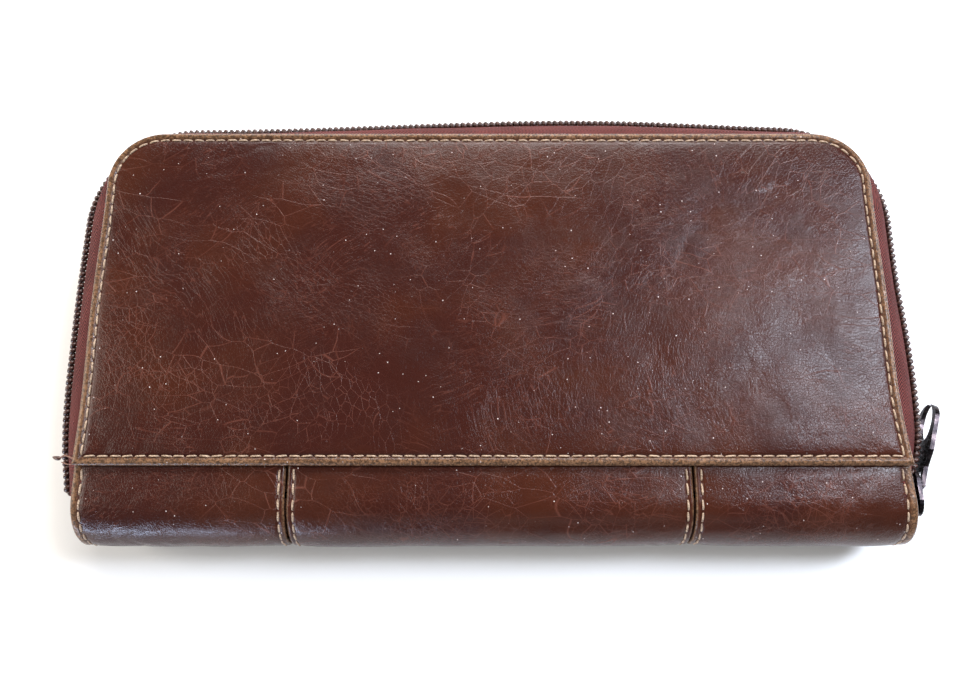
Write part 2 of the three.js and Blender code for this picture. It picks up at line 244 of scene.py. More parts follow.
def woven(name, dark, light, pitch, zigzag=True, fuzz=0.5):
    """Woven cloth from the UV map, which is in mm: yarns cross in a herringbone or a plain weave."""
    n = Nodes(name)
    uv = n.node("ShaderNodeUVMap", 0)
    split = n.tree.nodes.new("ShaderNodeSeparateXYZ")
    n.put(split.inputs[0], uv)
    u, v = split.outputs[0], split.outputs[1]
    if zigzag:
        lean = n.math("PINGPONG", v, pitch * 2.2)
        wave = n.math("SINE", n.math("MULTIPLY", n.math("ADD", u, n.math("MULTIPLY", lean, 1.1)), 2 * math.pi / pitch))
    else:
        warp, weft = (n.math("SINE", n.math("MULTIPLY", way, 2 * math.pi / pitch)) for way in (u, v))
        wave = n.math("MULTIPLY", warp, weft)
    yarn = n.math("MULTIPLY_ADD", wave, 0.5, 0.5)
    across = n.math("MULTIPLY_ADD", n.math("SINE", n.math("MULTIPLY", v, 2 * math.pi / (pitch * 0.8))), 0.5, 0.5)
    fuzzy = n.noise(n.place(), 2.2, 4, 0, 0.7)
    cloud = n.noise(n.place(), 0.12, 2)
    tone = n.math("MULTIPLY_ADD", yarn, 0.75, n.math("MULTIPLY", fuzzy, fuzz * 0.6))
    tone = n.math("ADD", tone, n.math("MULTIPLY_ADD", cloud, 0.5, -0.25))
    base = n.mix(n.step(tone, 0.15, 0.85), dark, light)
    height = n.math("ADD", yarn, n.math("MULTIPLY", across, 0.5))
    weave = n.bump(height, 0.7, pitch * 0.22)
    fine = n.bump(fuzzy, 0.4, 0.06, weave)
    return n.finish(Base_Color=base, Roughness=n.step(fuzzy, 0.2, 0.8, 0.75, 0.95), Normal=fine, Specular_IOR_Level=0.15)


TAPE = woven("zip_tape_weave", srgb(26, 7, 7), srgb(112, 56, 52), 0.9)
LINING = woven("lining_weave", srgb(52, 32, 28), srgb(94, 62, 52), 0.6, zigzag=False, fuzz=0.35)


def thread(name, dark, light):
    n = Nodes(name)
    twist = n.noise(n.place(30, (1, 4, 2)), 1.4, 3)
    base = n.mix(n.step(twist, 0.3, 0.7), dark, light)
    return n.finish(Base_Color=base, Roughness=n.step(twist, 0.3, 0.7, 0.5, 0.7), Normal=n.bump(twist, 0.5, 0.08))


THREAD = thread("thread", srgb(104, 80, 62), srgb(190, 164, 138))
THREAD_DARK = thread("thread_dark", srgb(84, 52, 40), srgb(122, 84, 66))


def coil_plastic():
    n = Nodes("zip_coil_nylon")
    streak = n.noise(n.place(40, (1, 3, 1)), 0.8, 3)
    base = n.mix(n.step(streak, 0.3, 0.75), srgb(38, 18, 15), srgb(84, 52, 42))
    return n.finish(Base_Color=base, Roughness=n.step(streak, 0.2, 0.8, 0.22, 0.4), Normal=n.bump(streak, 0.3, 0.04))


def gunmetal():
    n = Nodes("gunmetal")
    brushed = n.noise(n.place(15, (0.6, 6, 2)), 1.1, 4)
    wear = n.noise(n.place(), 0.5, 4, 0.4)
    base = n.mix(n.step(wear, 0.42, 0.72), srgb(40, 36, 38), srgb(84, 74, 75))
    pits = n.bump(n.noise(n.place(), 4, 3), 0.15, 0.03)
    rough = n.step(brushed, 0.25, 0.75, 0.2, 0.38)
    return n.finish(Base_Color=base, Metallic=1.0, Roughness=rough, Normal=n.bump(brushed, 0.12, 0.03, pits))


def fibre_board():
    n = Nodes("fibre_board")
    fibres = n.noise(n.place(20, (0.5, 3, 1)), 1.5, 4)
    base = n.mix(fibres, srgb(120, 104, 84), srgb(156, 140, 116))
    return n.finish(Base_Color=base, Roughness=n.step(fibres, 0.2, 0.8, 0.8, 0.95), Normal=n.bump(fibres, 0.4, 0.08))


COIL = coil_plastic()
METAL = gunmetal()
BOARD = fibre_board()


def floor_material():
    n = Nodes("pale_floor")
    mottle = n.noise(n.place(), 0.006, 3)
    across = n.tree.nodes.new("ShaderNodeSeparateXYZ")
    n.put(across.inputs[0], n.place())
    warm = n.math("MULTIPLY", n.step(across.outputs[0], -150, -98, 1, 0), n.step(across.outputs[1], 15, 60, 1, 0))
    base = n.mix(n.math("MULTIPLY", warm, 0.9), (0.86, 0.86, 0.86, 1), (0.60, 0.53, 0.42, 1))
    return n.finish(Base_Color=base, Roughness=n.step(mottle, 0.2, 0.8, 0.5, 0.6))


# ---------------------------------------------------------------- mesh helpers
def make(name, verts, faces, material, body=None, replaces=(), slot=None, sharp=50, point=None, uv=None, weld=True):
    """A closed piece from points in mm. point: extra floats per vertex; uv: a pair in mm per vertex."""
    mesh = bpy.data.meshes.new(name)
    mesh.from_pydata((np.asarray(verts, float) * MM).tolist(), [], [tuple(f) for f in faces])
    for key, values in (point or {}).items():
        layer = mesh.attributes.new(key, "FLOAT", "POINT")
        layer.data.foreach_set("value", np.asarray(values, np.float32))
    if uv is not None:
        layer = mesh.uv_layers.new(name="UVMap")
        loops = np.empty(len(mesh.loops), int)
        mesh.loops.foreach_get("vertex_index", loops)
        layer.data.foreach_set("uv", np.asarray(uv, np.float32)[loops].ravel())
    work = bmesh.new()
    work.from_mesh(mesh)
    if weld:
        bmesh.ops.remove_doubles(work, verts=work.verts, dist=3e-6)
    bmesh.ops.recalc_face_normals(work, faces=work.faces)
    work.to_mesh(mesh)
    work.free()
    mesh.shade_smooth()
    mesh.set_sharp_from_angle(angle=math.radians(sharp))
    mesh.materials.append(material)
    piece = bpy.data.objects.new(name, mesh)
    scene.collection.objects.link(piece)
    if body:
        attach(piece, body)
    if replaces:
        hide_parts(*replaces)
    return piece


def shell(centre, normal, top, bottom):
    """Closed skin: a grid of centre points pushed out by top and in by bottom along the normals."""
    rows, cols = centre.shape[:2]
    upper = centre + normal * top[..., None]
    lower = centre - normal * bottom[..., None]
    verts = np.concatenate([upper.reshape(-1, 3), lower.reshape(-1, 3)])
    half = rows * cols
    i, j = np.meshgrid(np.arange(rows - 1), np.arange(cols - 1), indexing="ij")
    a = (i * cols + j).ravel()
    b, c, d = a + 1, a + cols + 1, a + cols
    faces = np.concatenate([np.stack([a, b, c, d], 1), np.stack([a, d, c, b], 1) + half])
    rim = list(range(cols)) + [r * cols + cols - 1 for r in range(1, rows)]
    rim += [(rows - 1) * cols + k for k in range(cols - 2, -1, -1)] + [r * cols for r in range(rows - 2, 0, -1)]
    walls = [(p, q, q + half, p + half) for p, q in zip(rim, rim[1:] + rim[:1])]
    return verts, faces.tolist() + walls


def tube(path, radius, sides=8):
    """Verts and faces of a capped tube along a path of points; radius may be one number or one per point."""
    path = np.asarray(path, float)
    radii = np.full(len(path), radius, float) if np.isscalar(radius) else np.asarray(radius, float)
    tangent = np.gradient(path, axis=0)
    tangent /= np.linalg.norm(tangent, axis=1)[:, None]
    side = np.cross(tangent[0], (0.13, 0.31, 0.94))
    side /= np.linalg.norm(side)
    rings = []
    for point, along, r in zip(path, tangent, radii):
        side = side - along * np.dot(side, along)
        side /= np.linalg.norm(side)
        other = np.cross(along, side)
        angles = np.arange(sides) * 2 * math.pi / sides
        rings.append(point + r * (np.cos(angles)[:, None] * side + np.sin(angles)[:, None] * other))
    count = len(path)
    faces = []
    for s in range(count - 1):
        for k in range(sides):
            m = (k + 1) % sides
            faces.append((s * sides + k, s * sides + m, (s + 1) * sides + m, (s + 1) * sides + k))
    faces.append(tuple(range(sides))[::-1])
    faces.append(tuple((count - 1) * sides + k for k in range(sides)))
    return np.concatenate(rings), faces


def joined(parts):
    verts, faces, base = [], [], 0
    for v, f in parts:
        verts.append(v)
        faces += [tuple(k + base for k in face) for face in f]
        base += len(v)
    return np.concatenate(verts), faces


def waves(points, scale, seed):
    flat = points.reshape(-1, 3)
    out = np.array([noise.noise(Vector((p[0] * scale + seed, p[1] * scale, p[2] * scale))) for p in flat])
    return out.reshape(points.shape[:-1])


def wrinkles(points):
    """Soft dents and folds that run on across the covers and the spine, in mm."""
    broad = waves(points, 0.045, 3) * 0.30 + waves(points, 0.11, 9) * 0.16
    lean = points.copy()
    angle = 0.5
    lean[..., 0] = (points[..., 0] * math.cos(angle) + points[..., 1] * math.sin(angle)) * 0.35
    lean[..., 1] = -points[..., 0] * math.sin(angle) + points[..., 1] * math.cos(angle)
    creased = np.abs(waves(lean, 0.22, 31))
    where = np.clip(waves(points, 0.03, 57) * 3, 0, 1)
    return broad - 0.16 * where * (1 - np.clip(creased * 6, 0, 1))


def rolled(d, half=0.8):
    """Half thickness of a sheet whose edge is rounded over, d mm in from the edge."""
    k = np.clip(d / half, 0, 1)
    return half * np.sqrt(np.clip(1 - (1 - k) ** 2, 0, 1))


# ---------------------------------------------------------------- stitches
def stitch_run(points, normals, length=2.65, gap=0.3, radius=0.27, lift=0.12, slant=0.0):
    """Separate stitches along a line of points on the surface, each dipping into its holes at both ends."""
    points, normals = np.asarray(points, float), np.asarray(normals, float)
    lengths = np.concatenate([[0], np.cumsum(np.linalg.norm(np.diff(points, axis=0), axis=1))])
    total = lengths[-1]
    count = max(int(total / (length + gap)), 1)
    pitch = total / count
    parts = []
    for k in range(count):
        start = k * pitch + gap / 2 + rng.uniform(-0.12, 0.12)
        s = start + (pitch - gap) * np.linspace(0, 1, 7)
        p = np.stack([np.interp(s, lengths, points[:, a]) for a in range(3)], 1)
        n = np.stack([np.interp(s, lengths, normals[:, a]) for a in range(3)], 1)
        n /= np.linalg.norm(n, axis=1)[:, None]
        arch = np.array([-0.42, -0.02, 0.06, 0.08, 0.06, -0.02, -0.42]) + lift + rng.uniform(-0.03, 0.03)
        along = p[-1] - p[0]
        side = np.cross(along, n[3])
        side /= np.linalg.norm(side)
        skew = (np.linspace(-1, 1, 7) * (slant + rng.uniform(-0.13, 0.13)))[:, None] * side
        radii = radius * np.array([0.6, 0.92, 1, 1, 1, 0.92, 0.6])
        parts.append(tube(p + n * arch[:, None] + skew, radii, 6))
    return parts


# ---------------------------------------------------------------- covers
HALF_X, FAR_Y, SEAM_Y, CORNER = 100.0, 53.0, -34.5, 14.5
THICK = 25.4
STITCH_IN = 2.15


def half_width(y):
    width = np.full_like(y, HALF_X)
    far = y > FAR_Y - CORNER
    width[far] = HALF_X - CORNER + np.sqrt(np.clip(CORNER**2 - (y[far] - FAR_Y + CORNER) ** 2, 0, None))
    near = y < SEAM_Y + 1.2
    width[near] = HALF_X - 1.2 + np.sqrt(np.clip(1.44 - (SEAM_Y + 1.2 - y[near]) ** 2, 0, None))
    return width


def inset(x, y):
    """Distance in from the cover's outline, and from its seam edge alone."""
    ax = np.abs(x)
    sides = np.minimum(HALF_X - ax, FAR_Y - y)
    corner = (ax > HALF_X - CORNER) & (y > FAR_Y - CORNER)
    sides = np.where(corner, CORNER - np.hypot(ax - HALF_X + CORNER, y - FAR_Y + CORNER), sides)
    return np.clip(sides, 0, None), np.clip(y - SEAM_Y, 0, None)


def flare(x, y):
    """The real outline is not ruled: the right edge leans out towards the spine and all sides wander a little."""
    out = np.clip((10 - y) / 45, 0, 1) ** 3
    push = np.where(x > 0, 2.1, 0.5) * out * (x / HALF_X) ** 4 * np.sign(x)
    return push + 0.25 * np.sin(y * 0.11 + 1) * (x / HALF_X) ** 3


EDGE_STEPS = np.array([0, 0.03, 0.1, 0.2, 0.34, 0.5, 0.7, 0.95, 1.25, 1.55, 1.8, 2.0, 2.15, 2.3, 2.5, 2.8, 3.2, 3.8, 4.6])


def cover_rows():
    near = SEAM_Y + EDGE_STEPS
    corner_y = FAR_Y - CORNER
    middle = np.linspace(near[-1], corner_y, 78)[1:]
    corner = corner_y + CORNER * np.sin(np.radians(np.linspace(0, 90, 34)))[1:]
    return np.concatenate([near, middle, corner])


def cover_cols():
    right = np.concatenate([np.linspace(0, HALF_X - EDGE_STEPS[-1], 96), (HALF_X - EDGE_STEPS[::-1])[1:]])
    return np.concatenate([-right[:0:-1], right]) / HALF_X


def cover_height(x, y):
    """Outer face of a cover above its middle plane, and its thickness profile there."""
    sides, seam = inset(x, y)
    d = np.minimum(sides, seam)
    h = rolled(d)
    margin = 0.20 * np.sin(np.clip(d / STITCH_IN, 0, 1) * math.pi)
    groove = -0.34 * np.exp(-(((d - STITCH_IN) / 0.42) ** 2))
    inner = np.clip(d - STITCH_IN, 0, None)
    puff = 0.62 * (1 - np.exp(-inner / 3.0)) - 0.25 * (1 - np.exp(-inner / 18.0))
    crown = 0.5 * np.cos(np.clip(x / HALF_X, -1, 1) * math.pi / 2) * np.cos(np.clip((y - 9) / 46, -1, 1) * math.pi / 2)
    rise = margin + groove + puff + crown * np.clip(inner / 12, 0, 1)
    points = np.stack([x, y, np.full_like(x, 25.0)], -1)
    ripples = wrinkles(points) * np.clip(d / 3.5, 0.12, 1)
    return d, h, h + (rise + ripples) * np.clip(d / 0.8, 0, 1)


def cover_surface(x, y, upper=True):
    """Height of the outer face of the lid (or the base) at given points."""
    top = cover_height(x, y)[2]
    if not upper:
        top = np.minimum(top, 0.8)
    return (THICK - 0.8 + top) if upper else (0.8 - top)


def build_cover(name, upper, node, body):
    y = cover_rows()[:, None]
    s = cover_cols()[None, :]
    x = s * half_width(y[:, 0])[:, None]
    y = np.broadcast_to(y, x.shape).copy()
    d, h, top = cover_height(x, y)
    if not upper:
        # The base rests on the floor: flat there, with only the margin's rounding and the groove.
        top = np.minimum(top, 0.8) - 0.22 * np.exp(-(((d - STITCH_IN) / 0.42) ** 2))
    z = THICK - 0.8 if upper else 0.8
    centre = np.stack([x + flare(x, y), y, np.full_like(x, z)], -1)
    normal = np.zeros_like(centre)
    normal[..., 2] = 1 if upper else -1
    verts, faces = shell(centre, normal, top, h)
    point = {"edge_mm": np.concatenate([d.ravel(), d.ravel()])}
    return make(name, verts, faces, LEATHER, body, (node,), "leather_brown", point=point)


build_cover("lid_leather", True, "lid_cover_leather", "lid")
build_cover("base_leather", False, "base_cover_leather", "base")


def outline_path(inward, seam_in, step=0.7):
    """A line round the cover's sides, right end to left end, a set distance in from its edge."""
    r = CORNER - inward
    x, far = HALF_X - inward, FAR_Y - inward
    start = SEAM_Y + seam_in
    right = [(x, v) for v in np.arange(start, far - r, step)]
    arc = [(x - r + r * math.cos(a), far - r + r * math.sin(a)) for a in np.linspace(0, math.pi / 2, 30)]
    top = [(v, far) for v in np.arange(x - r, 0, -step)]
    half = right + arc + top
    return np.array(half + [(-a, b) for a, b in reversed(half)])


def on_cover(path, upper, sink=0.0):
    x, y = path[:, 0], path[:, 1]
    z = cover_surface(x, y, upper)
    if not upper:
        z = z + 0.30
    n = np.zeros((len(path), 3))
    n[:, 2] = 1 if upper else -1
    return np.stack([x + flare(x, y), y, z], 1), n


def cover_stitches(name, upper, body):
    sides, n1 = on_cover(outline_path(STITCH_IN, STITCH_IN), upper)
    xs = np.arange(HALF_X - STITCH_IN, -HALF_X + STITCH_IN - 0.01, -0.7)
    seam, n2 = on_cover(np.stack([xs, np.full_like(xs, SEAM_Y + STITCH_IN + 0.1)], 1), upper)
    lift = 0.16 if upper else -0.12
    parts = stitch_run(sides, n1, lift=lift) + stitch_run(seam, n2, length=2.75, lift=lift)
    make(name, *joined(parts), THREAD, body, sharp=70, weld=False)


cover_stitches("lid_stitching", True, "lid")
cover_stitches("base_stitching", False, "base")


# ---------------------------------------------------------------- spine leather
FOLD_Y, MID = -42.0, THICK / 2
SPINE_R = 11.0
SEAM_X = 49.0
CENTRE_R = SPINE_R - 0.8
FLAT = 10.4  # leather between each fold and its end under a cover
ARC = math.pi * CENTRE_R


def spine_frame(v):
    """Middle of the leather and its outward normal (y, z), v mm along from the fold at the lid; negative is under the lid."""
    v = np.asarray(v, float)
    a = np.clip(v / CENTRE_R, 0, math.pi)
    ny, nz = -np.sin(a), np.cos(a)
    y = FOLD_Y + CENTRE_R * ny + np.where(v < 0, -v, 0) + np.where(v > ARC, v - ARC, 0)
    z = MID + CENTRE_R * nz
    return y, z, ny, nz


PANELS = {"left": (-HALF_X, -SEAM_X - 0.28), "centre": (-SEAM_X + 0.28, SEAM_X - 0.28), "right": (SEAM_X + 0.28, HALF_X)}
SEAM_STEPS = np.array([0, 0.04, 0.12, 0.25, 0.42, 0.62, 0.85, 1.1, 1.35, 1.6, 1.85, 2.1, 2.4, 2.9, 3.6, 4.5])


def end_flare(x, v):
    """The spine's ends open outwards towards the front, more on the slider's side."""
    along = [-8, 0, 10, 15, 21, ARC, ARC + 8]
    right = np.interp(v, along, [1.6, 2.2, 2.9, 3.1, 3.3, 1.5, 1.0])
    left = np.interp(v, along, [0.4, 0.4, 0.3, 0.1, 0.0, 0.0, 0.0])
    return np.where(x > 0, right, left) * (np.abs(x) / HALF_X) ** 8 * np.sign(x)


def spine_rise(x, v):
    """Extra height of the spine leather's outer face: seam grooves, puff between seams, end margins and wrinkles."""
    to_seam = np.abs(np.abs(x) - SEAM_X)
    to_end = HALF_X - np.abs(x)
    stitch = -0.26 * np.exp(-(((to_seam - 1.75) / 0.38) ** 2)) - 0.26 * np.exp(-(((to_end - STITCH_IN) / 0.4) ** 2))
    puff = 0.35 * (1 - np.exp(-np.clip(np.minimum(to_seam, to_end) - 1.9, 0, None) / 3))
    y, z, _, _ = spine_frame(v)
    points = np.stack(np.broadcast_arrays(x, y, z), -1)
    under = np.clip((v + 7.3) / 2.0, 0, 1) * np.clip((ARC + 7.3 - v) / 2.0, 0, 1)
    low = np.clip((v - ARC * 0.72) / 6, 0, 1)
    return (stitch + (puff + 1.1 * wrinkles(points)) * (1 - 0.8 * low)) * under


def spine_piece(name, panel, v0, v1, body):
    x0, x1 = PANELS[panel]
    inner = np.linspace(x0 + SEAM_STEPS[-1], x1 - SEAM_STEPS[-1], int((x1 - x0) / 1.0))
    xs = np.concatenate([x0 + SEAM_STEPS[:-1], inner, x1 - SEAM_STEPS[::-1][1:]])
    vs = np.linspace(v0, v1, max(int(abs(v1 - v0) / 0.7), 6))
    x, v = np.meshgrid(xs, vs)
    y, z, ny, nz = spine_frame(v)
    d = np.minimum(x - x0, x1 - x)
    h = rolled(d, 0.8)
    rise = spine_rise(x, v) * np.clip(d / 0.8, 0, 1)
    centre = np.stack([x + end_flare(x, v), y, z], -1)
    normal = np.stack([0 * x, ny, nz], -1)
    top = h + np.where(v > ARC, np.minimum(rise, 0), rise)  # under the base it lies flat on the floor
    verts, faces = shell(centre, normal, top, h)
    edge = np.where(np.minimum(HALF_X - np.abs(x), 99) < np.abs(np.abs(x) - SEAM_X), d, d * 2.2 + 0.9)
    point = {"edge_mm": np.concatenate([edge.ravel(), edge.ravel()])}
    return make(name, verts, faces, LEATHER, body, (), "leather_brown", point=point)


def spine_line(x, v0, v1, step=0.6):
    v = np.arange(v0, v1, step)
    y, z, ny, nz = spine_frame(v)
    xs = np.full_like(v, x)
    top = 0.8 + spine_rise(xs, v)
    points = np.stack([xs + end_flare(xs, v), y + ny * top, z + nz * top], 1)
    return points, np.stack([0 * v, ny, nz], 1)


def flatten(piece):
    """Gives the piece a mesh of its own."""
    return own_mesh(piece)


for panel in PANELS:
    upper = spine_piece(f"spine_leather_{panel}_under_lid", panel, -FLAT, 0, "lid")
    arc = spine_piece(f"spine_leather_{panel}", panel, 0, ARC, "spine")
    lower = spine_piece(f"spine_leather_{panel}_under_base", panel, ARC, ARC + FLAT, "base")
    if panel == "centre":
        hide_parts("spine_hem_upper")
        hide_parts("spine_hem_lower")
    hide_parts(f"spine_panel_{panel}")
    flatten(arc)

SPINE_LINES = [s * SEAM_X + o for s in (-1, 1) for o in (-1.65, 1.85)] + [-HALF_X + STITCH_IN, HALF_X - STITCH_IN]
for where, v0, v1, body in (("lid", -7.0, -0.1, "lid"), ("spine", 0.1, ARC - 0.1, "spine"), ("base", ARC + 0.1, ARC + 7, "base")):
    parts = []
    for x in SPINE_LINES:
        parts += stitch_run(*spine_line(x, v0, v1), lift=0.10 if where != "base" else -0.1)
    piece = make(f"spine_stitching_{where}", *joined(parts), THREAD, body, sharp=70, weld=False)
    if where == "spine":
        flatten(piece)


# ---------------------------------------------------------------- soft flat panels
def panel_piece(name, node, body, x0, x1, y0, y1, z0, z1, corner, material, slot, outline=None, sag=0.12, seed=0, weave=False):
    """A pocket panel or lining: thin, a little wavy, with rounded edges. z1 is its upper face."""
    half = (z1 - z0) / 2
    steps = np.array([0, 0.04, 0.12, 0.22, 0.35, 0.6, 1.0, 1.6, 2.2])
    xs = np.concatenate([steps, np.linspace(steps[-1], (x1 - x0) - steps[-1], int((x1 - x0) / 2.2))[1:-1], (x1 - x0) - steps[::-1]])
    ys = np.concatenate([steps, np.linspace(steps[-1], (y1 - y0) - steps[-1], max(int((y1 - y0) / 2.2), 3))[1:-1], (y1 - y0) - steps[::-1]])
    s = xs / (x1 - x0) * 2 - 1
    cx, cy = (x0 + x1) / 2, (y0 + y1) / 2
    hx, hy = (x1 - x0) / 2, (y1 - y0) / 2
    yy = ys - hy
    over = np.clip(np.abs(yy) - (hy - corner), 0, corner)
    if outline == "far":
        over = np.where(yy < 0, 0, over)
    width = hx - corner + np.sqrt(np.clip(corner**2 - over**2, 0, None))
    x = s[None, :] * width[:, None]
    y = np.broadcast_to(yy[:, None], x.shape)
    qx, qy = np.abs(x) - (hx - corner), np.abs(y) - (hy - corner)
    d = corner - np.where((qx > 0) & (qy > 0), np.hypot(qx, qy), np.maximum(qx, qy))
    if outline == "far":
        d = np.where(y < 0, np.minimum(hx - np.abs(x), y + hy), d)
    d = np.clip(d, 0, None)
    h = rolled(d, half)
    points = np.stack([x + cx, y + cy, np.full_like(x, seed * 13.0)], -1)
    drift = sag * (waves(points, 0.05, seed) + 0.5 * waves(points, 0.13, seed + 4)) * np.clip(d / 4, 0, 1)
    centre = np.stack([x + cx, y + cy, (z0 + z1) / 2 + drift], -1)
    normal = np.zeros_like(centre)
    normal[..., 2] = 1
    verts, faces = shell(centre, normal, h, h)
    point = {"edge_mm": np.tile(d.ravel() * 1.4 + 0.6, 2)}
    return make(name, verts, faces, material, body, (node,), slot, point=point, uv=verts[:, :2])


def edge_stitches(name, body, paths, z, facing, colour=THREAD_DARK):
    parts = []
    for path in paths:
        pts = []
        for (ax, ay), (bx, by) in zip(path, path[1:]):
            steps = max(int(math.hypot(bx - ax, by - ay) / 1.0), 2)
            pts += [(ax + (bx - ax) * k / steps, ay + (by - ay) * k / steps) for k in range(steps)]
        pts.append(path[-1])
        pts = np.array([(a, b, z) for a, b in pts])
        n = np.zeros_like(pts)
        n[:, 2] = facing
        parts += stitch_run(pts, n, length=2.2, gap=0.5, radius=0.24, lift=0.05)
    piece = make(name, *joined(parts), colour, body, sharp=70, weld=False)


panel_piece("base_lining_cloth", "base_lining", "base", -96.5, 96.5, -40.5, 49.5, 3.6, 4.3, 11, LINING, "lining_fabric", "far", seed=1)
panel_piece("lid_lining_cloth", "lid_lining", "lid", -96.5, 96.5, -40.5, 49.5, 21.1, 21.8, 11, LINING, "lining_fabric", "far", seed=2)
panel_piece("passport_pocket_leather", "passport_panel", "base", -70, 70, -40.5, 38, 8.9, 9.6, 2.5, CARD, "card_leather", seed=3)
for side, x0, x1, y0, y1 in (("left", -70, -65.5, -36.4, 37), ("right", 65.5, 70, -36.4, 37), ("front", -70, 70, -40.5, -37)):
    panel_piece(f"passport_pocket_side_{side}", f"passport_welt_{side}", "base", x0, x1, y0, y1, 4.6, 8.6, 1.2, CARD, "card_leather", sag=0, seed=4)
panel_piece("document_sleeve_cloth", "document_sleeve", "base", -90, 90, -40.5, 44, 9.9, 10.5, 3, LINING, "lining_fabric", seed=5)
sleeve_paths = [[(88, 41.5), (88, -38.5), (-88, -38.5), (-88, 41.5)], [(-88, 42), (88, 42)]]
edge_stitches("document_sleeve_stitching", "base", sleeve_paths, 10.48, 1)
for row, mouth in enumerate((40, 31, 22, 13)):
    top = THICK - 4.6 - row
    for side, x0, x1 in (("left", -92, -2), ("right", 2, 92)):
        slot_node = f"card_slot_{side}_{row + 1}"
        panel_piece(
            f"{slot_node}_leather", slot_node, "lid", x0, x1, -37, mouth, top - 0.7, top, 2.2,
            CARD, "card_leather", sag=0.05, seed=6 + row,
        )
    paths = [[(x0 + 1.5, mouth - 1.6), (x1 - 1.5, mouth - 1.6)] for x0, x1 in ((-92, -2), (2, 92))]
    if row == 3:
        paths += [[(x0 + 1.5, mouth - 3), (x0 + 1.5, -35.4), (x1 - 1.5, -35.4), (x1 - 1.5, mouth - 3)] for x0, x1 in ((-92, -2), (2, 92))]
    edge_stitches(f"card_slot_stitching_{row + 1}", "lid", paths, top - 0.68, -1)


# Spine lining and the closed ends of the spine, in cloth.
def half_round(name, node, r_out, r_in, x0, x1):
    xs = np.linspace(x0, x1, 90)
    a = np.linspace(math.pi / 2, math.pi * 1.5, 36)
    x, t = np.meshgrid(xs, a)
    middle, half = (r_out + r_in) / 2, (r_out - r_in) / 2
    centre = np.stack([x, FOLD_Y + middle * np.cos(t), MID + middle * np.sin(t)], -1)
    normal = np.stack([0 * x, np.cos(t), np.sin(t)], -1)
    h = rolled(np.minimum(x - x0, x1 - x), half)
    verts, faces = shell(centre, normal, h, h)
    uv = np.tile(np.stack([x.ravel(), (t * middle).ravel()], 1), (2, 1))
    piece = make(name, verts, faces, LINING, "spine", (node,), "lining_fabric", uv=uv)
    return flatten(piece)


half_round("spine_lining_cloth", "spine_lining", 9.1, 8.5, -98.5, 98.5)
for side, x in (("left", -97.8), ("right", 97.8)):
    r = np.linspace(0.0, 8.2, 14)
    a = np.linspace(math.pi / 2, math.pi * 1.5, 30)
    rr, t = np.meshgrid(r, a)
    bulge = np.sign(x) * 1.1 * (1 - (rr / 8.2) ** 2)
    centre = np.stack([x + bulge, FOLD_Y - 0.02 + rr * np.cos(t), MID + rr * np.sin(t)], -1)
    normal = np.zeros_like(centre)
    normal[..., 0] = np.sign(x)
    h = rolled(8.2 - rr, 0.4)
    verts, faces = shell(centre, normal, h, h)
    uv = np.tile(np.stack([(rr * np.cos(t)).ravel(), (rr * np.sin(t)).ravel()], 1), (2, 1))
    flatten(make(f"spine_end_{side}_tape", verts, faces, TAPE, "spine", (f"spine_end_{side}",), "zip_tape", uv=uv))

for board in ("base_stiffener", "lid_stiffener"):
    nodes[board].data.materials.clear()
    nodes[board].data.materials.append(BOARD)


# ---------------------------------------------------------------- zip
CHAIN_START, SHOULDER_X, SHOULDER_Y, CHAIN_R, BOW = 106.0, 110.0, 33.0, 28.0, 1.8
SLOPE = (SHOULDER_X - CHAIN_START) / (SHOULDER_Y - FOLD_Y)
COIL_W, COIL_H = 2.1, 1.9


def half_chain():
    """Pairs (point on the cover's edge, point on the chain's outer face) from the right end to the middle."""
    pairs = []
    for y in np.linspace(-41.6, SHOULDER_Y, 40):
        pairs.append(((HALF_X, y), (CHAIN_START + (y - FOLD_Y) * SLOPE, y)))
    for a in np.linspace(0, math.pi / 2, 26)[1:]:
        edge = (HALF_X - CORNER * (1 - math.cos(a)), FAR_Y - CORNER + CORNER * math.sin(a))
        pairs.append((edge, (SHOULDER_X - CHAIN_R * (1 - math.cos(a)), SHOULDER_Y + CHAIN_R * math.sin(a))))
    for k in np.linspace(1, 0, 44)[1:]:
        bow = BOW * math.cos(math.pi / 2 * k) ** 2
        pairs.append((((HALF_X - CORNER) * k, FAR_Y), ((SHOULDER_X - CHAIN_R) * k, SHOULDER_Y + CHAIN_R + bow)))
    return pairs


right_half = half_chain()
left_half = [((-e[0], e[1]), (-c[0], c[1])) for e, c in reversed(right_half[:-1])]
EDGE_LINE = np.array([p[0] for p in right_half + left_half])
CHAIN_LINE = np.array([p[1] for p in right_half + left_half])


def bulge():
    """How far the soft chain stands out from its straight run, in mm: fuller beside the covers, tucked in at the corners."""
    x, y = CHAIN_LINE[:, 0], CHAIN_LINE[:, 1]
    angle = np.degrees(np.arctan2(y - SHOULDER_Y, np.abs(x) - SHOULDER_X + CHAIN_R)).clip(0, 90)
    right_side = np.interp(y, [-42, -39, -36, -33, -30, -16, 0, 14, 33], [0, 0, 0.8, 2.3, 3.5, 3.5, 2.4, 0.7, -0.4])
    left_side = np.interp(y, [-42, -37, -28, -16, 10, 25, 33], [0.2, 1.2, 2.2, 2.4, 1.2, 0.2, -0.5])
    far = -0.9 + 1.7 * np.exp(-(((x - 42) / 45) ** 2))
    right = np.where(y < SHOULDER_Y, right_side, np.interp(angle, [0, 45, 90], [-0.4, -1.3, -0.1]))
    left = np.where(y < SHOULDER_Y, left_side, np.interp(angle, [0, 45, 90], [-0.5, -1.9, -0.9]))
    out = np.where(x > 0, right, left)
    out = np.where(np.abs(x) < SHOULDER_X - CHAIN_R, far, out)
    smooth = np.ones(7) / 7
    padded = np.concatenate([np.full(3, out[0]), out, np.full(3, out[-1])])
    return np.convolve(padded, smooth, "valid")


